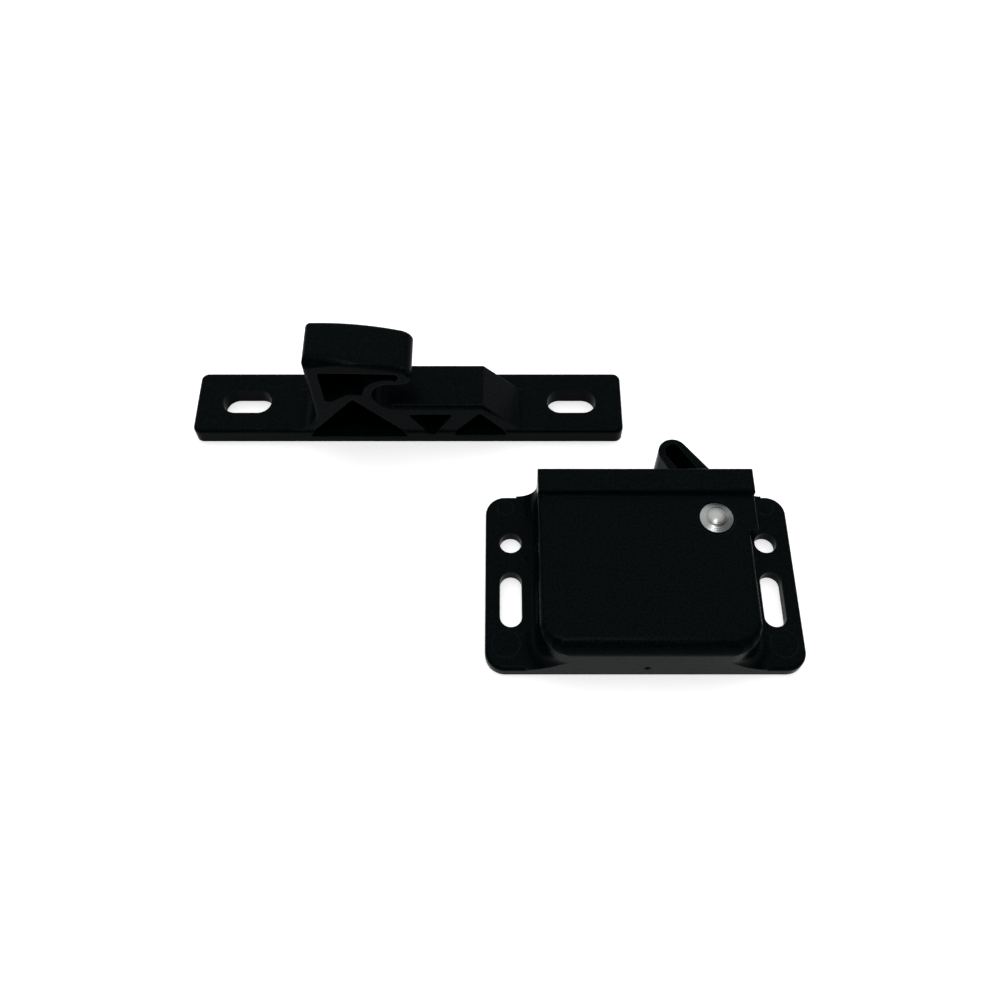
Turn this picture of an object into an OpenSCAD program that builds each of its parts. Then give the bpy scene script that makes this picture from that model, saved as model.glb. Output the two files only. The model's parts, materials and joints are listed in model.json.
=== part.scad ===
// Grabber door catch: a moulded case with a forked arm that snaps shut on a hooked keeper.
// The case lies on its back face at z = 0 with its mouth towards +Y. The keeper lies beside it on its base.

/* [Case] */
// Width across the two screw ears
flange_w = 56; // [50:0.5:62]
// Depth from the front face to the near end
case_d = 34.2; // [33:0.2:40]
// Thickness of the screw ears
flange_t = 2.4; // [2:0.1:3]
// Plan radius of the ears' corners
flange_r = 3.6; // [2.5:0.1:4.5]
// Rounding along the ears' upper edge
flange_edge_r = 0.7; // [0.3:0.1:1]
// Width of each screw ear beside the case
ear_w = 9.4; // [8.6:0.1:10.2]
// Height of the case's top face
case_h = 11.7; // [11:0.1:14]
// Plan radius of the case's two near corners
case_corner_r = 5; // [3:0.2:6]
// Rounding along the case's near top edge
near_edge_r = 2.8; // [1:0.1:3]
// Rounding along the case's side top edges
side_edge_r = 0.9; // [0.4:0.1:1.2]
// Hollow blend between the case's sides and the ears
blend_r = 3.7; // [2.5:0.1:4]
// Height of the raised lip over the mouth
lip_h = 13; // [12.6:0.1:15]
// Depth of the raised lip
lip_d = 4.8; // [4:0.1:6]
// Rounding along the lip's edges
lip_edge_r = 0.5; // [0.2:0.1:0.6]
// How far the pivot bulge stands out of the right side
bulge_out = 1.4; // [0.8:0.1:1.8]
// Length of the pivot bulge from the front face
bulge_d = 11.8; // [10:0.1:13]
// Thickness of the case's side walls
wall = 1.6; // [1.2:0.1:2]
// Thickness of the case's near wall
near_wall = 1.8; // [1.4:0.1:2.4]
// Thickness of the case's roof
roof = 1.2; // [1:0.1:1.6]
// Lead-in chamfer over the mouth
mouth_chamfer = 0.8; // [0.4:0.1:1]

/* [Screw holes] */
// Screw holes' distance in from the ears' outer edges
hole_in = 4.6; // [4.2:0.1:5]
// Diameter of the round screw holes
hole_d = 4; // [3.2:0.1:4.4]
// Round holes' distance from the front face
hole_back = 9.8; // [9:0.1:11]
// Width of the screw slots in the ears
slot_w = 3.9; // [3.2:0.1:4.4]
// Length of the screw slots in the ears
slot_len = 10.6; // [9:0.1:11]
// Slot centres' distance from the front face
slot_back = 21; // [20:0.1:22]
// Diameter of the screw head clearance cut into the blend
head_d = 7.6; // [6.8:0.1:8]
// How far that clearance runs on in front of the round holes
hole_run = 2.7; // [0:0.1:3.5]
// How far that clearance runs on in front of the slots
slot_run = 1.3; // [0:0.1:2]

/* [Pivot] */
// Pivot's distance from the case's right side
pivot_side = 5.85; // [5.6:0.05:6.2]
// Pivot's distance from the front face
pivot_back = 9.5; // [9.2:0.1:10.5]
// Diameter of the rivet's shank
rivet_d = 3.2; // [2.6:0.1:3.6]
// Diameter of the rivet's head
rivet_head_d = 5.9; // [5.2:0.1:6.4]
// Height of the rivet's head
rivet_head_h = 1.1; // [0.8:0.1:1.4]
// Radial clearance of the arm on the rivet
pivot_clear = 0.06; // [0.02:0.01:0.1]

/* [Arm] */
// Swing of the arm from open to shut, in degrees
swing = 57; // [50:1:60]
// Width of the finger
finger_w = 5.4; // [5:0.1:6]
// Reach of the finger from the pivot to its tip
finger_reach = 18.3; // [17:0.1:19]
// Slope of each of the finger's sides as it widens from tip to hub, in degrees
finger_taper = 5; // [0:0.5:6]
// Wall around the finger's cored pocket
finger_wall = 1.15; // [0.9:0.05:1.4]
// Depth of the finger's cored pocket
pocket_depth = 7; // [4:0.5:7.5]
// Gap between finger and prong, where the keeper's nose sits
notch_h = 4.9; // [4.6:0.1:5.2]
// Distance from the pivot to the bottom of that gap
notch_root = 11.2; // [10.4:0.1:11.6]
// How far the inner prong runs on past the middle of that gap's round end
prong_over = 0.3; // [0.1:0.1:0.8]
// Thickness of the prong at its tip
prong_t = 2.6; // [2.2:0.1:3]
// Radius of the arm's hub
hub_r = 3.9; // [3.4:0.1:3.95]
// Play between the arm and the roof and back plate
arm_play = 0.3; // [0.2:0.05:0.5]

/* [Toggle spring] */
// Radius from the pivot to the spring guide's seat in the arm
crank_r = 7; // [6.6:0.1:7.4]
// Sideways distance from the pivot to the rib that the spring bears on
anchor_side = 15.75; // [15:0.05:16.5]
// Distance of that rib from the near end
anchor_in = 6.1; // [5.8:0.1:7]
// Outer diameter of the spring
spring_d = 5.6; // [5:0.1:6]
// Diameter of the spring wire
wire_d = 0.8; // [0.5:0.05:0.9]
// Turns of the spring, with one flat turn at each end
spring_turns = 8; // [6:1:10]
// Diameter of the guide's rod
rod_d = 3; // [2.4:0.1:3.2]
// Radius of the guide's round nose
nose_pin_r = 1.6; // [1.3:0.05:1.8]
// Height of the guide's nose and neck
guide_h = 6.4; // [5:0.1:7]

/* [Back plate] */
// Thickness of the back plate
plate_t = 0.7; // [0.6:0.1:1]
// How far the back plate laps over the case's walls
plate_lap = 1; // [0.6:0.1:1.2]
// Diameter of the two stakes that hold the back plate
stake_d = 2.4; // [1.8:0.1:3]

/* [Keeper] */
// Length of the keeper
keeper_len = 83.6; // [80:0.1:92]
// Width of the keeper's base
keeper_w = 13.9; // [12:0.1:15]
// Thickness of the keeper's ears
keeper_t = 3.6; // [3:0.1:4]
// Plan radius of the keeper's corners
keeper_r = 1.5; // [1:0.1:3]
// Rounding along the keeper's edges
keeper_edge_r = 0.7; // [0.3:0.1:0.9]
// Width of the hook and the block beside it
hook_w = 9.5; // [8:0.1:9.5]
// Distance of their near face behind the base's near edge
hook_back = 0.35; // [0.2:0.05:0.5]
// Height of the hook
hook_h = 25.15; // [24:0.05:27]
// Left face of the hook, from the keeper's middle
hook_left = -17.35; // [-18.2:0.05:-17]
// Right end of the hook's nose, from the keeper's middle
hook_right = 1.95; // [1.6:0.05:2.6]
// Radius of the hook's rounded nose
hook_nose_r = 2.05; // [1.9:0.05:2.2]
// Rounding along the edges of the hook and the block
hook_edge_r = 1; // [0.4:0.1:1.1]
// Depth of the wider rounding over the hook's near edge, at its left end
lead_in = 3; // [1.5:0.1:3.5]
// Height of the throat between hook and block
throat_h = 7.3; // [6.6:0.1:7.5]
// Left end of the throat, from the keeper's middle
throat_left = -5.85; // [-6.4:0.05:-5.4]
// Height of the block beside the throat
block_h = 11.45; // [11:0.05:12]
// Right end of the block's level top, from the keeper's middle
block_right = 14.7; // [13.5:0.1:16]
// Run of the slope at the block's right end
block_slope = 7.2; // [6:0.1:8.5]
// Hollow blend at the hook's left foot
foot_r = 4.9; // [3:0.1:6]
// Hollow blend at the foot of the slope
slope_foot_r = 3; // [1:0.1:4]
// Wall between the cored pockets and around them
core_wall = 1.45; // [1.2:0.05:2]
// Web left behind the cored pockets
core_web = 1.6; // [1:0.1:2.5]
// Distance between the keeper's two screw slots
keeper_slot_spacing = 63.8; // [62:0.1:68]
// Width of the keeper's screw slots
keeper_slot_w = 5.2; // [4:0.1:5.6]
// Length of the keeper's screw slots
keeper_slot_len = 9.6; // [8:0.1:10.5]
// Keeper's middle, sideways from the catch's middle
keeper_x = -43.2; // [-60:0.1:-43]
// Keeper's near edge, from the catch's middle
keeper_y = 30.85; // [29:0.05:45]

/* [Hidden] */
$fn = 64;
// Fine rounds for long shallow arcs
fine = 180;
// How far a cutter runs past the face it opens
lap = 1;
front_y = case_d / 2;
near_y = -case_d / 2;
side_x = flange_w / 2 - ear_w;
inner_x = side_x - wall;
bulge_x = side_x + bulge_out;
inner_bulge_x = bulge_x - wall;
bulge_y = front_y - bulge_d;
roof_z = case_h - roof;
lip_y = front_y - lip_d;
hole_x = flange_w / 2 - hole_in;
// Rounding of the case's near top corners at steps round their plan, from the near edge to the side
corner_steps = [22.5, 45, 67.5];
corner_soft = [2.5, 2, 1.4];
// Edge rounding on the bulge, sharper than on the case's sides
bulge_edge_r = 0.4;
// Hollow blend at the foot of the lip
foot_blend_r = 0.5;
pivot = [side_x - pivot_side, front_y - pivot_back];
// Depth and width of the ring-shaped sinking round the rivet's head
sink_depth = 0.3;
sink_margin = 0.35;
// Slip fit of the rivet and the stakes in the holes that they fill
slip = 0.05;
// Mould marks on the ears: distance from the ears' edge, then distance from the front or near end
// with the radius, then depth
mark_in = 3.7;
mark_x = flange_w / 2 - mark_in;
front_mark = [2.4, 1.5];
near_mark = [4.8, 2.5];
mark_depth = 0.2;
// Gate mark on the near wall
gate_z = 3.3;
gate_r = 0.7;
// The two stakes' distance in from the inner walls, and the posts that carry them
stake_in = 3.6;
stake_post_d = stake_d + 2;
// The rivet's head: its domed middle as a part of its width, and the heights of its rim and sloping collar
dome_part = 0.66;
rim_h = 0.4;
collar_h = 0.4 * rivet_head_h;

arm_z = plate_t + arm_play;
arm_h = roof_z - arm_play - arm_z;
mid_z = (plate_t + roof_z) / 2;
finger_r = finger_w / 2;
finger_x = finger_reach - finger_r;
// Where the finger's outer side leaves for the hub, and how far out the taper has taken it there
finger_shoulder = 4;
shoulder_y = finger_w + taper_out(finger_x - finger_shoulder);
finger_root = finger_shoulder + finger_r;
// How far the finger's outer side runs into the hub
hub_sink = 0.3;
// Where the prong's underside meets the hub
prong_root = [-3.5, -5.5];
notch_r = notch_h / 2;
notch_x = -notch_root - notch_r;
// The finger's inner side where it meets the gap's round end
notch_y = -taper_out(finger_x + notch_x);
tip_r = prong_t / 2;
tip_c = [notch_x - prong_over, notch_y - notch_h - tip_r];
// The low ledge inside the finger's pocket
ledge_w = 0.7;
ledge_depth = 2;

// Directions of the spring: the guide lies on the line from the crank seat to the anchor rib.
anchor = [pivot[0] - anchor_side, near_y + anchor_in];
anchor_dir = direction(anchor - pivot);
crank_dir = anchor_dir + swing / 2;
seat_open = pivot + crank_r * heading(crank_dir - swing);
guide_dir = direction(anchor - seat_open);
guide_reach = norm(anchor - seat_open);
guide_tilt = abs(guide_dir - anchor_dir);
// The seat of the guide's nose in the arm's ear: clearance, wall and how far the ear wraps past its middle
seat_clear = 0.05;
seat_wall = 0.95;
seat_lip = 0.3;
// Half width of the ear that holds the spring guide's nose
seat_half = nose_pin_r + seat_clear + seat_wall;
// The guide's flat neck and the round shoulder that the spring pushes on
neck_t = 1.6;
shoulder_at = 3;
shoulder_t = 1.2;
shoulder_lip = 0.2;
shoulder_d = spring_d + 2 * shoulder_lip;
// How far the rod runs on past the rib, and the rib's size and play
rod_tail = 2.2;
rib_t = 1.6;
rib_w = 9;
rod_play = 0.42;
rod_slot = rod_d / cos(guide_tilt) + rib_t * tan(guide_tilt) + 2 * rod_play;
spring_start = shoulder_at + shoulder_t;
spring_end = guide_reach - rib_t / (2 * cos(guide_tilt)) - spring_d / 2 * tan(guide_tilt);
spring_len = spring_end - spring_start;
wire_steps = 14;
wire_sides = 8;

throat_r = throat_h / 2;
throat_c = [throat_left + throat_r, block_h + throat_r];
throat_top = block_h + throat_h;
// The nose's round, which leaves room for the arc over it in a low head
nose_part = 0.4;
nose_r = min(hook_nose_r, nose_part * (hook_h - throat_top));
nose_c = [hook_right - nose_r, throat_top + nose_r];
// The hook's top is a shallow arc that falls from a crest near its left end to the nose.
// The nose stands a hair out of that arc, so that the two meet at an angle.
crown_in = 2.65;
nose_proud = 0.01;
crown_run = nose_c[0] - hook_left - crown_in;
crown_fall = hook_h - nose_c[1];
nose_in = nose_r - nose_proud;
crown_r = (pow(crown_run, 2) + pow(crown_fall, 2) - pow(nose_in, 2)) / (2 * (crown_fall - nose_in));
crown_c = [hook_left + crown_in, hook_h - crown_r];
nose_dir = direction(nose_c - crown_c);
crown_corner_r = 1.2;
// Edge rounding on the short arcs, a little smaller than on the long sides that they join
arc_less = 0.1;
arc_edge_r = hook_edge_r - arc_less;
// How far the edge rounding runs out of the body where it fades, into the throat and down to the ears
edge_fade = hook_edge_r;
// Where the nose's edge rounding ends under it, and the throat's ends at its left, in degrees
nose_under = -95;
throat_back_end = 150;
// The wider rounding: its radius for its depth, its rise over the arc, and its turn towards the near face
lead_part = 1.25;
lead_r = lead_part * lead_in;
lead_rise = 0.05;
lead_turn = 10;
// How far cutters over the arc run past the body, in degrees
crown_over = 3;
throat_wall = 1.1;
// How much thicker that wall is at the throat's left end
throat_back = 0.45;
core_top = 2.95;
core_nose_r = nose_r - throat_wall;
core_nose_in = 0.73;
core_nose_x = nose_c[0] - core_nose_in;
core_corner_r = 0.5;
slope_end = block_right + block_slope;
slope_foot = [slope_end, keeper_t];
slope_up = unit([-block_slope, block_h - keeper_t]);
// Half the angle between the slope and the ear, and the blend's length along each
slope_half = (180 - direction(slope_up)) / 2;
slope_touch = slope_foot_r * tan(slope_half);
// Where the slope's edge rounding has faded
slope_fade = slope_foot + slope_touch * slope_up + hook_edge_r * [slope_up[1], -slope_up[0]];
// Head pocket: left wall, floor, and its lower left corners measured from those
core_left = hook_left + hook_edge_r + core_wall;
head_floor = throat_c[1] + 0.2;
head_tail = [[4.5, 0], [1.4, -2.2], [0.2, -1.9]];
// Pocket under the hook: left and right corner, floor, and depth of its peak below the head pocket
foot_left = hook_left - 2.15;
foot_right = 0.5;
foot_floor = 1.7;
foot_peak = head_floor - 1.3;
// Middle pocket: corners at its top and at its floor, floor, and its depth below the top
mid_top = [0.3, 9.1];
mid_low = [4, 5.4];
mid_floor = 2.5;
mid_under = 2.5;
// Pocket under the slope: left and right corner, floor and peak
end_left = 8.5;
end_right = slope_end - 2.3;
end_floor = 2.2;
end_peak = block_h - 2;

function heading(a) = [cos(a), sin(a)];
function direction(v) = atan2(v[1], v[0]);
function unit(v) = v / norm(v);

// How far the finger's tapered side stands out at a distance from the middle of its round tip.
function taper_out(run) = run * tan(finger_taper) + finger_r * (1 / cos(finger_taper) - 1);
function wrap(a) = a > 180 ? a - 360 : a < -180 ? a + 360 : a;

// Where the line from p that passes below a circle touches it.
function touch_point(p, centre, r) = centre + r * heading(direction(p - centre) - acos(r / norm(p - centre)));

// Points of the arc that rounds the corner b between neighbours a and c.
function corner_arc(a, b, c, r, steps = 5) =
    let (
        u = unit(a - b),
        w = unit(c - b),
        half = acos(u * w) / 2,
        centre = b + unit(u + w) * r / sin(half),
        from = direction(b + u * r / tan(half) - centre),
        turn = wrap(direction(b + w * r / tan(half) - centre) - from)
    )
    [for (i = [0 : steps]) centre + r * heading(from + turn * i / steps)];

// A polygon's points with every corner rounded.
function rounded(pts, r) =
    let (n = len(pts))
    [for (i = [0 : n - 1]) each corner_arc(pts[(i + n - 1) % n], pts[i], pts[(i + 1) % n], r)];

// The part of a square corner that lies outside the arc which touches both its sides.
module spandrel(r) {
    difference() {
        translate([-lap, -lap])
            square(r + lap);
        translate([r, r])
            circle(r);
    }
}

// A block seen from the end: flat base on the x axis, two top corners rounded.
module round_top(x0, x1, h, r) {
    translate([x0, 0])
        square([x1 - x0, h - r]);
    translate([x0 + r, 0])
        square([x1 - x0 - 2 * r, h]);
    for (x = [x0 + r, x1 - r])
        translate([x, h - r])
            circle(r);
}

module round_rect(w, d, r) {
    square([w - 2 * r, d], center = true);
    square([w, d - 2 * r], center = true);
    for (x = [-1, 1], y = [-1, 1])
        translate([x * (w / 2 - r), y * (d / 2 - r)])
            circle(r);
}

// A slot seen from above, centred, its length along x.
module slot_2d(len, w) {
    square([len - w, w], center = true);
    for (x = [-1, 1])
        translate([x * (len - w) / 2, 0])
            circle(d = w);
}

// Extrudes an outline drawn in (y, z) along x.
module along_x(x0, x1) {
    translate([x0, 0, 0])
        rotate([90, 0, 90])
            linear_extrude(x1 - x0)
                children();
}

// Extrudes an outline drawn in (x, z) along y.
module along_y(y0, y1) {
    translate([0, y1, 0])
        rotate([90, 0, 0])
            linear_extrude(y1 - y0)
                children();
}

// A flat plate with rounded corners and a rounded upper edge.
module soft_plate(w, d, t, r, edge) {
    linear_extrude(t - edge)
        round_rect(w, d, r);
    intersection() {
        linear_extrude(t)
            round_rect(w, d, r);
        union() {
            along_y(-d / 2 + r, d / 2 - r)
                round_top(-w / 2, w / 2, t, edge);
            along_x(-w / 2 + r, w / 2 - r)
                round_top(-d / 2, d / 2, t, edge);
            for (x = [-1, 1], y = [-1, 1])
                translate([x * (w / 2 - r), y * (d / 2 - r), 0])
                    rotate_extrude()
                        intersection() {
                            round_top(-r, r, t, edge);
                            square([r, t]);
                        }
        }
    }
}

// The case's plan between the side walls, its two near corners rounded.
module case_plan(half_w, near, r) {
    translate([0, front_y])
        mirror([0, 1])
            round_top(-half_w, half_w, front_y - near, r);
}

module case_block() {
    difference() {
        intersection() {
            linear_extrude(case_h)
                case_plan(side_x, near_y, case_corner_r);
            along_x(-side_x, side_x) {
                round_top(near_y, front_y, case_h, near_edge_r);
                square([front_y, case_h]);
            }
            along_y(near_y, front_y)
                round_top(-side_x, side_x, case_h, side_edge_r);
        }
        for (side = [0, 1])
            mirror([side, 0, 0])
                case_corner_cuts();
    }
}

// Cutters that carry the near edge's rounding round the corner and thin it out towards the side.
module case_corner_cuts() {
    translate([side_x - case_corner_r, near_y + case_corner_r, case_h])
        for (i = [0 : len(corner_steps) - 1])
            rotate([0, 0, corner_steps[i]])
                translate([0, -case_corner_r, 0])
                    along_x(-case_corner_r, case_corner_r)
                        mirror([0, 1])
                            spandrel(corner_soft[i]);
}

module case_lip() {
    intersection() {
        along_x(-side_x, bulge_x)
            round_top(lip_y, front_y, lip_h, lip_edge_r);
        along_y(lip_y, front_y)
            round_top(-side_x, bulge_x, lip_h, lip_edge_r);
    }
    along_x(-side_x + side_edge_r, bulge_x - bulge_edge_r)
        translate([lip_y, case_h])
            mirror([1, 0])
                spandrel(foot_blend_r);
}

module pivot_bulge() {
    along_y(bulge_y, front_y)
        round_top(pivot[0], bulge_x, case_h, bulge_edge_r);
}

// The hollow blends that run along the case's sides and round its near corners, trimmed to the ears.
module side_blends() {
    intersection() {
        linear_extrude(flange_t + blend_r)
            round_rect(flange_w, case_d, flange_r);
        union() {
            for (side = [0, 1])
                mirror([side, 0, 0]) {
                    along_y(near_y + case_corner_r, front_y)
                        translate([side_x, flange_t])
                            spandrel(blend_r);
                    translate([side_x - case_corner_r, near_y + case_corner_r, flange_t])
                        rotate([0, 0, -90])
                            rotate_extrude(angle = 90)
                                translate([case_corner_r, 0])
                                    spandrel(blend_r);
                }
            along_y(bulge_y, front_y)
                translate([bulge_x, flange_t])
                    spandrel(blend_r);
        }
    }
}

// Plan of the case's inside, open at the front.
module cavity_plan() {
    case_plan(inner_x, near_y + near_wall, case_corner_r - wall);
    translate([-inner_x, 0])
        square([2 * inner_x, front_y + lap]);
    translate([pivot[0], bulge_y + wall])
        square([inner_bulge_x - pivot[0], bulge_d - wall + lap]);
}

// Plan of the sheet that closes the back, and of the shallow seat it lies in.
module plate_plan(gap, front) {
    left = -inner_x - plate_lap - gap;
    right = inner_bulge_x + plate_lap + gap;
    near = near_y + near_wall - plate_lap - gap;
    translate([0, front])
        mirror([0, 1])
            round_top(left, right, front - near, case_corner_r - wall);
}

module at_screw_holes() {
    for (x = [-1, 1])
        translate([x * hole_x, front_y - hole_back, 0])
            children();
}

module at_screw_slots() {
    for (x = [-1, 1])
        translate([x * hole_x, front_y - slot_back, 0])
            rotate([0, 0, 90])
                children();
}

module at_stakes() {
    for (x = [-1, 1])
        translate([x * (inner_x - stake_in), near_y + near_wall + stake_in, 0])
            children();
}

module mould_marks() {
    for (x = [-mark_x, mark_x]) {
        translate([x, front_y - front_mark[0], flange_t - mark_depth])
            cylinder(r = front_mark[1], h = lap);
        translate([x, near_y + near_mark[0], flange_t - mark_depth])
            cylinder(r = near_mark[1], h = lap);
    }
    translate([0, near_y - gate_r / 2, gate_z])
        sphere(gate_r);
}

// Rib that the spring bears on, with the slot that the guide's rod slides and tilts in.
module anchor_rib() {
    translate([anchor[0], anchor[1], 0])
        rotate([0, 0, anchor_dir])
            difference() {
                translate([-rib_t / 2, -rib_w / 2, plate_t])
                    cube([rib_t, rib_w, roof_z - plate_t + roof / 2]);
                translate([-rib_t, 0, mid_z])
                    rotate([0, 90, 0])
                        cylinder(d = rod_slot, h = 2 * rib_t);
                translate([-rib_t, -rod_slot / 2, 0])
                    cube([2 * rib_t, rod_slot, mid_z]);
            }
}

module housing() {
    color([0.05, 0.055, 0.06]) {
        difference() {
            union() {
                soft_plate(flange_w, case_d, flange_t, flange_r, flange_edge_r);
                case_block();
                pivot_bulge();
                case_lip();
                side_blends();
            }
            translate([0, 0, -lap])
                linear_extrude(roof_z + lap)
                    cavity_plan();
            along_x(-inner_x, inner_bulge_x)
                polygon([
                    [front_y - mouth_chamfer, roof_z],
                    [front_y + lap, roof_z],
                    [front_y + lap, roof_z + mouth_chamfer + lap]
                ]);
            translate([0, 0, -lap])
                linear_extrude(plate_t + lap)
                    plate_plan(slip, front_y + lap);
            at_screw_holes() {
                translate([0, 0, -lap])
                    cylinder(d = hole_d, h = flange_t + 2 * lap);
                translate([0, hole_run / 2, flange_t])
                    rotate([0, 0, 90])
                        linear_extrude(blend_r + lap)
                            slot_2d(head_d + hole_run, head_d);
            }
            at_screw_slots() {
                translate([0, 0, -lap])
                    linear_extrude(flange_t + 2 * lap)
                        slot_2d(slot_len, slot_w);
                translate([slot_run / 2, 0, flange_t])
                    linear_extrude(blend_r + lap)
                        slot_2d(slot_len - slot_w + head_d + slot_run, head_d);
            }
            translate([pivot[0], pivot[1], 0]) {
                cylinder(d = rivet_d + 2 * slip, h = case_h + lap);
                translate([0, 0, case_h - sink_depth])
                    cylinder(d = rivet_head_d + 2 * sink_margin, h = lip_h);
            }
            mould_marks();
        }
        anchor_rib();
        at_stakes() {
            translate([0, 0, plate_t])
                cylinder(d = stake_post_d, h = roof_z - plate_t + roof / 2);
            cylinder(d = stake_d, h = plate_t + lap);
        }
    }
}

module back_plate() {
    color("silver")
        difference() {
            linear_extrude(plate_t)
                plate_plan(0, front_y);
            at_stakes()
                translate([0, 0, -lap])
                    cylinder(d = stake_d + 2 * slip, h = plate_t + 2 * lap);
            translate([pivot[0], pivot[1], 0]) {
                translate([0, 0, -lap])
                    cylinder(d = rivet_d + 2 * slip, h = plate_t + 2 * lap);
                rivet_tail(slip);
            }
        }
}

// Countersunk tail of the rivet, flush with the back.
module rivet_tail(gap) {
    cylinder(r1 = rivet_d / 2 + plate_t + gap, r2 = rivet_d / 2 + gap, h = plate_t);
}

module pivot_rivet() {
    seat_z = case_h - sink_depth;
    rim_r = rivet_head_d / 2;
    dome_r = rim_r * dome_part;
    collar_z = seat_z + rim_h;
    dome_h = rivet_head_h + sink_depth - rim_h - collar_h;
    ball_r = (dome_r * dome_r + dome_h * dome_h) / (2 * dome_h);
    color("lightgray")
        translate([pivot[0], pivot[1], 0]) {
            rivet_tail(0);
            cylinder(d = rivet_d, h = collar_z);
            translate([0, 0, seat_z])
                cylinder(r = rim_r, h = rim_h);
            translate([0, 0, collar_z])
                cylinder(r1 = rim_r, r2 = dome_r, h = collar_h);
            translate([0, 0, collar_z + collar_h])
                intersection() {
                    cylinder(r = dome_r, h = dome_h);
                    translate([0, 0, dome_h - ball_r])
                        sphere(ball_r);
                }
        }
}

// The arm as it stands when shut, with the pivot at the origin and the finger along -x.
module arm_block() {
    difference() {
        union() {
            linear_extrude(arm_h)
                polygon([
                    [-finger_x, finger_r] + finger_r * heading(-90 - finger_taper),
                    [-finger_x, finger_r] + finger_r * heading(90 + finger_taper),
                    [-finger_shoulder, shoulder_y],
                    [0, hub_r - hub_sink],
                    [0, 0],
                    prong_root,
                    touch_point(prong_root, tip_c, tip_r),
                    tip_c,
                    [tip_c[0], notch_y - notch_h],
                    [notch_x, notch_y - notch_h],
                    [notch_x, notch_y]
                ]);
            linear_extrude(arm_h)
                translate([-finger_x, finger_r])
                    circle(finger_r);
            linear_extrude(arm_h)
                translate(tip_c)
                    circle(tip_r);
            linear_extrude(arm_h)
                circle(hub_r);
            linear_extrude(arm_h)
                rotate(crank_dir)
                    translate([0, -seat_half])
                        square([crank_r + seat_lip, 2 * seat_half]);
        }
        translate([notch_x, notch_y - notch_r, -lap])
            cylinder(r = notch_r, h = arm_h + 2 * lap);
        translate([crank_r * cos(crank_dir), crank_r * sin(crank_dir), -lap])
            cylinder(r = nose_pin_r + seat_clear, h = arm_h + 2 * lap);
        translate([0, 0, -lap])
            cylinder(r = rivet_d / 2 + pivot_clear, h = arm_h + 2 * lap);
    }
}

// The finger's cored pocket: its upper part, then its deep part, which a low ledge narrows on the inner side.
module finger_ledge() {
    ledge_len = finger_x - finger_root + finger_w - 2 * finger_wall;
    translate([-(finger_x + finger_root) / 2, finger_r])
        slot_2d(ledge_len, finger_w - 2 * finger_wall);
}

module finger_pocket() {
    inner = finger_wall + ledge_w;
    pocket_w = finger_w - finger_wall - inner;
    pocket_len = finger_x - finger_root + finger_w - 2 * finger_wall;
    translate([-(finger_x + finger_root) / 2, inner + pocket_w / 2])
        slot_2d(pocket_len, pocket_w);
}

module grabber_arm() {
    color([0.06, 0.065, 0.07])
        translate([pivot[0], pivot[1], arm_z])
            rotate([0, 0, -swing])
                difference() {
                    arm_block();
                    translate([0, 0, arm_h - pocket_depth])
                        linear_extrude(pocket_depth + lap)
                            finger_pocket();
                    translate([0, 0, arm_h - ledge_depth])
                        linear_extrude(ledge_depth + lap)
                            finger_ledge();
                }
}

// Moves to the guide's seat in the arm, with +x along the guide towards the anchor rib.
module along_guide() {
    translate([seat_open[0], seat_open[1], mid_z])
        rotate([0, 0, guide_dir])
            children();
}

module spring_guide() {
    color("dimgray")
        along_guide() {
            cylinder(r = nose_pin_r, h = guide_h, center = true);
            translate([0, -neck_t / 2, -guide_h / 2])
                cube([shoulder_at + shoulder_t / 2, neck_t, guide_h]);
            translate([shoulder_at, 0, 0])
                rotate([0, 90, 0]) {
                    cylinder(d = shoulder_d, h = shoulder_t);
                    cylinder(d = rod_d, h = guide_reach + rod_tail - shoulder_at);
                }
        }
}

// Distance along the spring after a number of turns, with a flat turn at each end.
function spring_rise(turn) =
    let (pitch = (spring_len - 3 * wire_d) / (spring_turns - 2))
    wire_d / 2 + wire_d * min(turn, 1) + pitch * min(max(turn - 1, 0), spring_turns - 2)
    + wire_d * max(turn - spring_turns + 1, 0);

// One ring of points round the wire.
function wire_ring(i) =
    let (
        turn = i / wire_steps,
        a = turn * 360,
        out = [0, cos(a), sin(a)],
        centre = [spring_rise(turn), 0, 0] + (spring_d - wire_d) / 2 * out
    )
    [for (k = [0 : wire_sides - 1])
        centre + wire_d / 2 * (cos(k * 360 / wire_sides) * out + sin(k * 360 / wire_sides) * [1, 0, 0])];

module toggle_spring() {
    rings = spring_turns * wire_steps;
    points = [for (i = [0 : rings]) each wire_ring(i)];
    sides = [
        for (i = [0 : rings - 1], k = [0 : wire_sides - 1])
            let (a = i * wire_sides + k, b = i * wire_sides + (k + 1) % wire_sides)
            [a, b, b + wire_sides, a + wire_sides]
    ];
    start = [for (k = [wire_sides - 1 : -1 : 0]) k];
    end = [for (k = [0 : wire_sides - 1]) rings * wire_sides + k];
    color("silver")
        along_guide()
            translate([spring_start, 0, 0])
                polyhedron(points, concat([start], sides, [end]));
}

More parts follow.
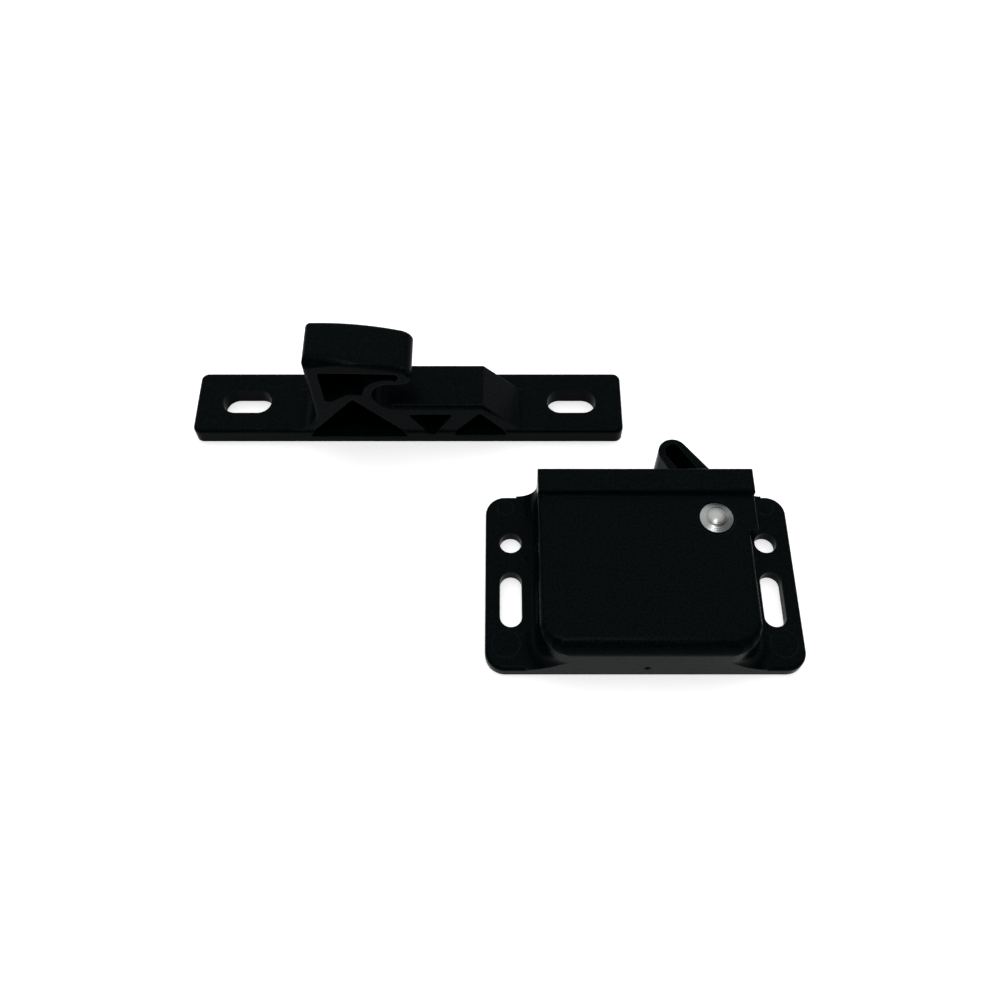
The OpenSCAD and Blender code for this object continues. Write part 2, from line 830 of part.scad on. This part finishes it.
// Side outline of the hook and its block, with the throat left open to the right.
module hook_outline() {
    difference() {
        union() {
            intersection() {
                translate(crown_c)
                    circle(crown_r, $fn = fine);
                polygon([
                    [hook_left, 0],
                    [hook_left, hook_h + lap],
                    crown_c + (crown_r + lap) * heading(nose_dir),
                    nose_c,
                    [nose_c[0], throat_top],
                    [throat_c[0], throat_top],
                    [throat_c[0], 0]
                ]);
            }
            translate(nose_c)
                circle(nose_r);
            polygon([
                [hook_left, 0],
                [hook_left, block_h],
                [block_right, block_h],
                [slope_end, keeper_t],
                [slope_end, 0]
            ]);
            translate([hook_left, keeper_t])
                mirror([1, 0])
                    spandrel(foot_r);
            difference() {
                polygon([
                    [slope_end - lap, 0],
                    [slope_end + slope_touch, 0],
                    slope_foot + [slope_touch, 0],
                    slope_foot + slope_touch * slope_up
                ]);
                translate(slope_foot + [slope_touch, slope_foot_r])
                    circle(slope_foot_r);
            }
        }
        translate(throat_c)
            circle(throat_r);
        translate([hook_left, hook_h])
            mirror([0, 1])
                spandrel(crown_corner_r);
    }
}

// The cored pockets: one in the hook's head, three in the foot and block.
module core_outlines() {
    difference() {
        union() {
            polygon(rounded(concat([
                [core_left, hook_h - core_top],
                [core_nose_x, nose_c[1] + core_nose_r],
                [core_nose_x, throat_c[1]]
            ], [for (p = head_tail) [core_left, head_floor] + p]), core_corner_r));
            translate([core_nose_x - core_corner_r, nose_c[1]])
                circle(core_nose_r);
        }
        translate(throat_c - [throat_back, 0])
            circle(throat_r + throat_wall);
    }
    polygon(rounded([
        [foot_left, foot_floor],
        [foot_right, foot_floor],
        [(foot_left + foot_right) / 2, foot_peak]
    ], core_corner_r));
    polygon(rounded([
        [mid_top[0], block_h - mid_under],
        [mid_low[0], mid_floor],
        [mid_low[1], mid_floor],
        [mid_top[1], block_h - mid_under]
    ], core_corner_r));
    polygon(rounded([
        [end_left, end_floor],
        [(end_left + end_right) / 2, end_peak],
        [end_right, end_floor]
    ], core_corner_r));
}

// Cutter for the near edge of a straight side from p to q, drawn in (x, z) with the outside on its left.
module soften_side(p, q) {
    translate([p[0], 0, p[1]])
        rotate([0, -direction(q - p), 0])
            along_x(0, norm(q - p))
                mirror([0, 1])
                    spandrel(hook_edge_r);
}

// Revolves an outline drawn in (radius, y) about a centre given in (x, z), between two angles.
module about_y(centre, from, to) {
    translate([centre[0], 0, centre[1]])
        rotate([-90, 0, 0])
            rotate([0, 0, -to])
                rotate_extrude(angle = to - from, $fn = fine)
                    children();
}

// Outline of the cutter for the near edge of a round side with the body inside it, then outside it.
module outer_edge(r, edge) {
    translate([r, 0])
        mirror([1, 0])
            spandrel(edge);
}

module inner_edge(r, edge) {
    translate([r, 0])
        spandrel(edge);
}

// Rounds the near edge of the hook's back, top and nose. The cutters drift out of the body where they fade.
module hook_edge_cuts() {
    foot_in = foot_r - edge_fade / 2;
    foot_c = [hook_left - foot_in, keeper_t + edge_fade + foot_in];
    about_y(foot_c, -90, 0)
        inner_edge(foot_in, arc_edge_r);
    soften_side([hook_left, keeper_t + foot_r], [hook_left, hook_h + lap]);
    about_y([hook_left + crown_corner_r, hook_h - crown_corner_r], 90, 180)
        outer_edge(crown_corner_r, arc_edge_r);
    about_y(crown_c, nose_dir - crown_over, 90 + crown_over)
        outer_edge(crown_r, hook_edge_r);
    about_y(nose_c - [edge_fade, edge_fade] / 2, nose_under, nose_dir)
        outer_edge(nose_r + edge_fade / 2, arc_edge_r);
}

// Rounds the near edge of the throat, the block and the slope.
module block_edge_cuts() {
    throat_in = throat_r - edge_fade / 2;
    about_y([throat_left + edge_fade + throat_in, block_h + throat_in], throat_back_end, 270)
        inner_edge(throat_in, arc_edge_r);
    soften_side([throat_c[0], block_h], [block_right + lap, block_h]);
    soften_side([block_right, block_h] + lap * slope_up, slope_fade);
}

// The wider rounding over the near edge, which leaves the hook towards the nose.
module lead_in_cut() {
    translate([crown_c[0], lead_in, 0])
        rotate([0, 0, -lead_turn])
            about_y([0, crown_c[1]], nose_dir - crown_over, 90 + crown_over)
                difference() {
                    translate([crown_r - lead_r, -lead_r - lap])
                        square([lead_r + lap, lead_r + lap]);
                    translate([crown_r - lead_r + lead_rise, 0])
                        circle(lead_r);
                }
}

module keeper() {
    color([0.05, 0.055, 0.06])
        translate([keeper_x, keeper_y, 0])
            difference() {
                union() {
                    translate([0, keeper_w / 2, 0])
                        soft_plate(keeper_len, keeper_w, keeper_t, keeper_r, keeper_edge_r);
                    translate([0, hook_back, 0])
                        difference() {
                            along_y(0, hook_w)
                                hook_outline();
                            lead_in_cut();
                        }
                }
                translate([0, hook_back, 0]) {
                    along_y(-hook_back - lap, hook_w - core_web)
                        core_outlines();
                    hook_edge_cuts();
                    block_edge_cuts();
                    translate([0, hook_w, 0])
                        mirror([0, 1, 0])
                            hook_edge_cuts();
                }
                for (x = [-1, 1])
                    translate([x * keeper_slot_spacing / 2, keeper_w / 2, -lap])
                        linear_extrude(keeper_t + 2 * lap)
                            slot_2d(keeper_slot_len, keeper_slot_w);
            }
}

housing();
back_plate();
pivot_rivet();
grabber_arm();
spring_guide();
toggle_spring();
keeper();
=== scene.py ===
# %% [markdown]
# # A grabber door catch and its keeper
# The catch is a black moulded case with two screw ears. A forked arm looks out of its mouth and
# snaps shut on the hook of the keeper, the long moulding that lies behind it. The solid model
# already has the true shapes and sizes, so this lesson dresses it: the camera, the finishes, one
# spring worked out from a formula, and the light.

# %% Load the frame
import json
import math

import bpy
import numpy as np
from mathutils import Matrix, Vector


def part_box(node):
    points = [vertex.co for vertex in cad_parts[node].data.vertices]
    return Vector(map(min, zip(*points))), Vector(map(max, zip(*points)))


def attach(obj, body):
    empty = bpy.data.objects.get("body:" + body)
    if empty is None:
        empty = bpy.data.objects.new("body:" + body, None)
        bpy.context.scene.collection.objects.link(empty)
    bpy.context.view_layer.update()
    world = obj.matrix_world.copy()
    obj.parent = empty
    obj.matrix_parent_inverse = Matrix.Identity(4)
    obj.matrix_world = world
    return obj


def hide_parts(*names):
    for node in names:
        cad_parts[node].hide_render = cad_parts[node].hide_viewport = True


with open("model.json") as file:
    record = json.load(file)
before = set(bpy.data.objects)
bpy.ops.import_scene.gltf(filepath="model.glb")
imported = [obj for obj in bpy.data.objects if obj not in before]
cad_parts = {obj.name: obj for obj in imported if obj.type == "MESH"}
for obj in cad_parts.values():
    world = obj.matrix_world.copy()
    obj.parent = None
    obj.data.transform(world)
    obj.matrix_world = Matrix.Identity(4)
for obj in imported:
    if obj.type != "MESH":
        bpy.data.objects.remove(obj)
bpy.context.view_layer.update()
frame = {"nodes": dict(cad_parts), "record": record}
nodes = frame["nodes"]
print("pieces in the frame:", ", ".join(sorted(nodes)))

# %% [markdown]
# ## Where things are
# Lengths below are written in millimetres, as on a drawing, and turned into metres by one
# factor. Places come from the frame wherever it has them: the rivet's box gives the pivot.

# %% Places taken from the frame
MM = 0.001
rivet_low, rivet_high = (np.array(corner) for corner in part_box("pivot_rivet"))
pivot = (rivet_low + rivet_high) / 2
print("pivot at", np.round(pivot[:2] / MM, 2), "mm")

# %% [markdown]
# ## The camera
# The photograph looks down at the two mouldings from in front of the case's near end. The
# camera stands at a known distance from one point on the table, the point in the middle of the
# picture, and its tilt is the elevation above that table.

# %% Camera
AIM = np.array([-25.34, 17.66, 0.0]) * MM
CAMERA_DISTANCE = 196.4 * MM
CAMERA_ELEVATION = math.radians(61.07)
LENS_MM = 37.1
SENSOR_MM = 36.0

camera_data = bpy.data.cameras.new("photo_camera")
camera_data.lens = LENS_MM
camera_data.sensor_width = SENSOR_MM
camera_data.sensor_fit = "HORIZONTAL"
camera_data.clip_start = 0.01
camera = bpy.data.objects.new("photo_camera", camera_data)
bpy.context.scene.collection.objects.link(camera)
back = np.array([0.0, -math.cos(CAMERA_ELEVATION), math.sin(CAMERA_ELEVATION)])
camera.location = AIM + CAMERA_DISTANCE * back
camera.rotation_euler = (math.pi / 2 - CAMERA_ELEVATION, 0.0, 0.0)
bpy.context.scene.camera = camera
bpy.context.scene.view_settings.view_transform = "Standard"
print("camera at", np.round(np.array(camera.location) / MM, 1), "mm")

# %% [markdown]
# ## Building node materials
# Every finish below is a small tree of shader nodes. A few helpers keep the trees readable: they
# start a material, add a node with its sockets set, make a colour ramp and give the point shaded.

# %% Material helpers
def add_node(tree, kind, **sockets):
    """Adds a shader node and sets the named input sockets. A socket's value may be another socket."""
    node = tree.nodes.new(kind)
    for name, value in sockets.items():
        plug(tree, node, name.replace("_", " "), value)
    return node


def plug(tree, node, name, value):
    """Sets one input socket of a node, or links another node's socket to it."""
    if isinstance(value, bpy.types.NodeSocket):
        tree.links.new(value, node.inputs[name])
    else:
        node.inputs[name].default_value = value


def new_finish(name):
    """A material with a Principled shader, given as (material, tree, shader)."""
    material = bpy.data.materials.new(name)
    material.use_nodes = True
    tree = material.node_tree
    return material, tree, tree.nodes["Principled BSDF"]


def ramp(tree, fac, stops):
    """A colour ramp whose stops are (position, grey level or colour)."""
    node = add_node(tree, "ShaderNodeValToRGB", Fac=fac)
    while len(node.color_ramp.elements) < len(stops):
        node.color_ramp.elements.new(0.5)
    for element, (position, level) in zip(node.color_ramp.elements, stops):
        element.position = position
        element.color = (*level, 1.0) if isinstance(level, tuple) else (level, level, level, 1.0)
    return node.outputs["Color"]


def object_point(tree):
    """The point on the piece, in metres from the object's origin."""
    return tree.nodes.new("ShaderNodeTexCoord").outputs["Object"]


# %% [markdown]
# ## Black moulded plastic
# The case, the arm and the keeper are glass-filled nylon. The steel of the mould was spark
# eroded, which leaves a fine even grain on every face. The edges are painted paler, so they show
# as thin lines: a painted edge highlight, with a little wear. The grain is a bump from noise about
# half a millimetre across, the cloudy sheen is slow noise in the roughness, and a rounded normal
# along the edges catches the light as the real mould's edges do.

# %% Black plastic
CLOUDS_PER_M = 140.0
SPECKS_PER_M = 2400.0
# The last factor paints the edges paler than the tone: a painted edge highlight, with a little wear.
SPECK_DARK, SPECK_PALE, WEAR_AND_HIGHLIGHT_PALE = 0.45, 1.7, 12.0
GRAIN_STRENGTH = 0.4
SHINE = 0.013


def black_plastic(name, tone, grain, rough_low, rough_high, edge_r):
    """Moulded black plastic: base tone, grain height, range of roughness, and the edges' radius."""
    material, tree, shader = new_finish(name)
    point = object_point(tree)
    cloud = add_node(tree, "ShaderNodeTexNoise", Vector=point, Scale=CLOUDS_PER_M, Detail=3.0)
    speck = add_node(tree, "ShaderNodeTexNoise", Vector=point, Scale=SPECKS_PER_M, Detail=3.0, Roughness=0.6)
    soft = add_node(tree, "ShaderNodeBevel", Radius=edge_r)
    soft.samples = 6
    face = tree.nodes.new("ShaderNodeNewGeometry").outputs["Normal"]
    bend = add_node(tree, "ShaderNodeVectorMath")
    bend.operation = "DOT_PRODUCT"
    tree.links.new(soft.outputs["Normal"], bend.inputs[0])
    tree.links.new(face, bend.inputs[1])
    edge = ramp(tree, bend.outputs["Value"], [(0.72, 1.0), (0.97, 0.0)])

    low = tuple(c * SPECK_DARK for c in tone)
    high = tuple(c * SPECK_PALE for c in tone)
    body = ramp(tree, speck.outputs["Fac"], [(0.35, low), (0.65, high)])
    # Paler colour on the edges: a painted edge highlight, partly wear.
    wear_and_highlight = add_node(tree, "ShaderNodeMix")
    wear_and_highlight.data_type = "RGBA"
    tree.links.new(edge, wear_and_highlight.inputs["Factor"])
    tree.links.new(body, wear_and_highlight.inputs["A"])
    wear_and_highlight.inputs["B"].default_value = (*(c * WEAR_AND_HIGHLIGHT_PALE for c in tone), 1.0)
    tree.links.new(wear_and_highlight.outputs["Result"], shader.inputs["Base Color"])

    sheen = add_node(tree, "ShaderNodeMapRange", Value=cloud.outputs["Fac"])
    sheen.inputs["From Min"].default_value = 0.3
    sheen.inputs["From Max"].default_value = 0.7
    sheen.inputs["To Min"].default_value = rough_low
    sheen.inputs["To Max"].default_value = rough_high
    tree.links.new(sheen.outputs["Result"], shader.inputs["Roughness"])

    bump = add_node(
        tree, "ShaderNodeBump", Height=speck.outputs["Fac"], Strength=GRAIN_STRENGTH, Distance=grain
    )
    tree.links.new(soft.outputs["Normal"], bump.inputs["Normal"])
    tree.links.new(bump.outputs["Normal"], shader.inputs["Normal"])
    shader.inputs["Specular IOR Level"].default_value = SHINE
    return material


CASE_TONE = (0.001, 0.0021, 0.0025)
case_plastic = black_plastic("case_plastic", CASE_TONE, 0.13 * MM, 0.16, 0.23, 0.25 * MM)
keeper_plastic = black_plastic("keeper_plastic", CASE_TONE, 0.13 * MM, 0.16, 0.23, 0.25 * MM)
arm_plastic = black_plastic("arm_plastic", CASE_TONE, 0.06 * MM, 0.15, 0.22, 0.25 * MM)
guide_plastic = black_plastic("guide_plastic", (0.03, 0.03, 0.03), 0.02 * MM, 0.4, 0.5, 0.2 * MM)
print("plastics:", case_plastic.name, keeper_plastic.name, arm_plastic.name, guide_plastic.name)

# %% [markdown]
# ## Metals
# The rivet is satin aluminium with faint rings from the tool that formed its head. The back
# plate is plain rolled sheet with a straight grain, and the spring is drawn wire.

# %% Metals
WAVE_PERIOD = 0.314


def turned_metal(name, colour, centre, ring_pitch, roughness):
    """Metal with faint rings about an upright axis through centre."""
    material, tree, shader = new_finish(name)
    shift = add_node(tree, "ShaderNodeMapping", Vector=object_point(tree))
    shift.inputs["Location"].default_value = (-centre[0], -centre[1], 0.0)
    rings = tree.nodes.new("ShaderNodeTexWave")
    rings.wave_type = "RINGS"
    rings.rings_direction = "Z"
    plug(tree, rings, "Vector", shift.outputs["Vector"])
    plug(tree, rings, "Scale", WAVE_PERIOD / ring_pitch)
    plug(tree, rings, "Distortion", 5.0)
    plug(tree, rings, "Detail", 2.0)
    cloud = add_node(tree, "ShaderNodeTexNoise", Vector=shift.outputs["Vector"], Scale=900.0, Detail=3.0)
    sheen = add_node(tree, "ShaderNodeMapRange", Value=cloud.outputs["Fac"])
    sheen.inputs["To Min"].default_value = roughness - 0.08
    sheen.inputs["To Max"].default_value = roughness + 0.1
    tree.links.new(sheen.outputs["Result"], shader.inputs["Roughness"])
    bump = add_node(tree, "ShaderNodeBump", Height=rings.outputs["Fac"], Strength=0.35, Distance=0.012 * MM)
    soft = add_node(tree, "ShaderNodeBevel", Radius=0.15 * MM)
    tree.links.new(soft.outputs["Normal"], bump.inputs["Normal"])
    tree.links.new(bump.outputs["Normal"], shader.inputs["Normal"])
    shader.inputs["Base Color"].default_value = (*colour, 1.0)
    shader.inputs["Metallic"].default_value = 1.0
    return material


def rolled_metal(name, colour, stretch, roughness):
    """Metal with a straight grain: noise that is stretched along one direction."""
    material, tree, shader = new_finish(name)
    pull = add_node(tree, "ShaderNodeMapping", Vector=object_point(tree))
    pull.inputs["Scale"].default_value = stretch
    grain = add_node(tree, "ShaderNodeTexNoise", Vector=pull.outputs["Vector"], Scale=600.0, Detail=4.0)
    sheen = add_node(tree, "ShaderNodeMapRange", Value=grain.outputs["Fac"])
    sheen.inputs["To Min"].default_value = roughness - 0.1
    sheen.inputs["To Max"].default_value = roughness + 0.12
    tree.links.new(sheen.outputs["Result"], shader.inputs["Roughness"])
    bump = add_node(tree, "ShaderNodeBump", Height=grain.outputs["Fac"], Strength=0.1, Distance=0.01 * MM)
    tree.links.new(bump.outputs["Normal"], shader.inputs["Normal"])
    shader.inputs["Base Color"].default_value = (*colour, 1.0)
    shader.inputs["Metallic"].default_value = 1.0
    return material


rivet_metal = turned_metal("rivet_metal", (0.26, 0.268, 0.262), pivot, 0.3 * MM, 0.26)
plate_steel = rolled_metal("plate_steel", (0.52, 0.53, 0.54), (1.0, 12.0, 1.0), 0.36)
spring_wire = rolled_metal("spring_wire", (0.55, 0.55, 0.55), (1.0, 1.0, 4.0), 0.3)
print("metals:", rivet_metal.name, plate_steel.name, spring_wire.name)

# %% [markdown]
# ## The toggle spring
# Inside the case a coil spring pushes the arm over its dead point, to snap open or shut. Its first
# and last turn lie flat, so that the ends stand square on the guide's shoulder and on the rib.
# The solid model has it as a faceted coil. Here the same coil is worked out afresh as a round wire:
# a circle carried along a helix, which shows no facets where it is seen through the mouth. The
# guide points from its seat on the arm to the anchor, the slotted rib in the case.

# %% Measure the spring in the frame
UP = np.array([0.0, 0.0, 1.0])
ANCHOR = np.array([-3.0, -11.0]) * MM
guide_joint = next(j for j in frame["record"]["behaviour"]["joints"] if j["name"] == "guide_pivot")
guide_seat = np.array(guide_joint["pos_m"])
guide_way = np.append(ANCHOR, guide_seat[2]) - guide_seat
guide_way /= np.linalg.norm(guide_way)


def node_points(name):
    """All the points of a solid model's piece, as rows of x, y and z."""
    vertices = nodes[name].data.vertices
    flat = np.empty(3 * len(vertices))
    vertices.foreach_get("co", flat)
    return flat.reshape(-1, 3)


spring_points = node_points("toggle_spring") - guide_seat
along = spring_points @ guide_way
aside = np.linalg.norm(spring_points - along[:, None] * guide_way, axis=1)
spring_start, spring_end, spring_r = along.min(), along.max(), aside.max()
print("spring from", round(spring_start / MM, 2), "to", round(spring_end / MM, 2), "mm along the guide,",
      round(2 * spring_r / MM, 2), "mm across")

# %% [markdown]
# With its length and radius known, the wire is wound round the guide's way. The new coil rides with
# the guide and takes the place of the solid model's own.

# %% Wind the spring
def wire_coil(start, end, outer_r, wire_d, turns, steps, sides):
    """A round wire wound about the guide, as (points, faces).
    The wire's middle turns about the guide on a circle of the outer radius less half the wire. It
    moves along by one wire for the first turn and for the last, and by an even pitch between them.
    Round that path the skin is a circle spanned by the outward way and the guide's way."""
    turn = np.linspace(0.0, turns, turns * steps + 1)
    pitch = (end - start - 3 * wire_d) / (turns - 2)
    rise = wire_d * (0.5 + np.minimum(turn, 1) + np.maximum(turn - turns + 1, 0))
    rise = start + rise + pitch * np.clip(turn - 1, 0, turns - 2)
    angle = 2 * np.pi * turn[:, None]
    outward = np.cos(angle) * np.cross(UP, guide_way) + np.sin(angle) * UP
    middle = guide_seat + rise[:, None] * guide_way + (outer_r - wire_d / 2) * outward
    around = 2 * np.pi * np.arange(sides) / sides
    skin = np.cos(around)[:, None] * outward[:, None] + np.sin(around)[:, None] * guide_way
    points = (middle[:, None] + wire_d / 2 * skin).reshape(-1, 3)
    ring = np.arange(len(turn) - 1)[:, None] * sides
    here = np.arange(sides)
    after = np.roll(here, -1)
    quads = np.stack([ring + here, ring + here + sides, ring + after + sides, ring + after], axis=-1)
    caps = [here.tolist(), (here[::-1] + (len(turn) - 1) * sides).tolist()]
    return points, quads.reshape(-1, 4).tolist() + caps


WIRE_D = 0.8 * MM
points, faces = wire_coil(spring_start, spring_end, spring_r, WIRE_D, turns=8, steps=36, sides=14)
spring_mesh = bpy.data.meshes.new("smooth_spring")
spring_mesh.from_pydata(points.tolist(), [], faces)
spring_mesh.shade_smooth()
spring_mesh.set_sharp_from_angle(angle=math.radians(50))
smooth_spring = bpy.data.objects.new("smooth_spring", spring_mesh)
bpy.context.scene.collection.objects.link(smooth_spring)
spring_mesh.materials.append(spring_wire)
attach(smooth_spring, "guide")
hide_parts("toggle_spring")
print("spring of", len(points), "points and", len(faces), "faces")

# %% [markdown]
# ## Finishes on the solid model
# The other pieces already have their true shape, so each only takes its finish.

# %% Give each piece its finish
FINISHES = {
    "housing": case_plastic,
    "keeper": keeper_plastic,
    "grabber_arm": arm_plastic,
    "spring_guide": guide_plastic,
    "pivot_rivet": rivet_metal,
    "back_plate": plate_steel,
}
for name, finish in FINISHES.items():
    slots = nodes[name].data.materials
    slots.clear()
    slots.append(finish)
print("finishes given to", len(FINISHES), "pieces")

# %% [markdown]
# ## Table and light
# The pair lies on a plain pale table. The light is soft and comes from behind it: the sky is
# brightest there, white along the horizon and dark above the camera. So the level faces are lit,
# and the rounded edges that face the camera go dark. A small lamp overhead adds thin bright lines
# along the upper edges and the spark on the rivet. The upright faces, which the camera sees
# steeply, mirror the table and turn grey.

# %% Table
TABLE_HALF = 3.0
TABLE_COLOUR = (0.9, 0.9, 0.9, 1.0)
TABLE_GLOW = 0.46
corners = np.array([[-1, -1, 0], [1, -1, 0], [1, 1, 0], [-1, 1, 0]]) * TABLE_HALF
table_mesh = bpy.data.meshes.new("table")
table_mesh.from_pydata(corners.tolist(), [], [(0, 1, 2, 3)])
table = bpy.data.objects.new("table", table_mesh)
bpy.context.scene.collection.objects.link(table)
table_finish, table_tree, table_shader = new_finish("table_finish")
table_shader.inputs["Base Color"].default_value = TABLE_COLOUR
table_shader.inputs["Roughness"].default_value = 0.9
table_shader.inputs["Specular IOR Level"].default_value = 0.1
seen = table_tree.nodes.new("ShaderNodeLightPath")
shown = seen.outputs["Is Camera Ray"]
for ray in ("Is Glossy Ray", "Is Transmission Ray"):
    either = add_node(table_tree, "ShaderNodeMath", Value=shown)
    either.operation = "MAXIMUM"
    table_tree.links.new(seen.outputs[ray], either.inputs[1])
    shown = either.outputs["Value"]
glow = add_node(table_tree, "ShaderNodeMath", Value=shown)
glow.operation = "MULTIPLY"
glow.inputs[1].default_value = TABLE_GLOW
table_shader.inputs["Emission Color"].default_value = (1.0, 1.0, 1.0, 1.0)
table_tree.links.new(glow.outputs["Value"], table_shader.inputs["Emission Strength"])
table_mesh.materials.append(table_finish)
print("table", 2 * TABLE_HALF, "m across")

# %% [markdown]
# The lamp hangs a little on the camera's side, so that the edges towards the camera catch it.

# %% Lamp
LAMP_BACK, LAMP_HEIGHT = 0.15, 0.8
LAMP_SIZE, LAMP_WATTS = 0.2, 1.4


def lamp(name, place, aim, size, watts):
    """A square soft lamp at place that faces aim."""
    data = bpy.data.lights.new(name, "AREA")
    data.size = size
    data.energy = watts
    obj = bpy.data.objects.new(name, data)
    bpy.context.scene.collection.objects.link(obj)
    obj.location = place
    obj.rotation_euler = (Vector(aim) - Vector(place)).to_track_quat("-Z", "Y").to_euler()
    return obj


lamp_place = AIM + np.array([0.0, -LAMP_BACK, LAMP_HEIGHT])
overhead = lamp("overhead_lamp", lamp_place, AIM, LAMP_SIZE, LAMP_WATTS)
print("lamp at", [round(v, 3) for v in overhead.location])

# %% [markdown]
# The sky is the lighter of two things: a white band along the horizon, and a dome whose brightness
# falls with the angle from one way, behind the table and as high as the camera.

# %% World
HORIZON = [(0.3, 1.0), (0.4, 0.0)]
DOME_WAY = (0.0, math.cos(CAMERA_ELEVATION), math.sin(CAMERA_ELEVATION))
DOME = [(0.0, 0.01), (0.55, 0.05), (0.92, 1.7)]
world = bpy.data.worlds.new("studio")
world.use_nodes = True
bpy.context.scene.world = world
sky = world.node_tree
ways = sky.nodes.new("ShaderNodeTexCoord").outputs["Generated"]
height = add_node(sky, "ShaderNodeSeparateXYZ", Vector=ways)
facing = add_node(sky, "ShaderNodeVectorMath")
facing.operation = "DOT_PRODUCT"
sky.links.new(ways, facing.inputs[0])
facing.inputs[1].default_value = DOME_WAY
lighter = add_node(sky, "ShaderNodeVectorMath")
lighter.operation = "MAXIMUM"
sky.links.new(ramp(sky, height.outputs["Z"], HORIZON), lighter.inputs[0])
sky.links.new(ramp(sky, facing.outputs["Value"], DOME), lighter.inputs[1])
sky.links.new(lighter.outputs["Vector"], sky.nodes["Background"].inputs["Color"])
print("world: white at the horizon, bright behind the table, dark above the camera")

# %% [markdown]
# ## End

# %% End
print("scene dressed")
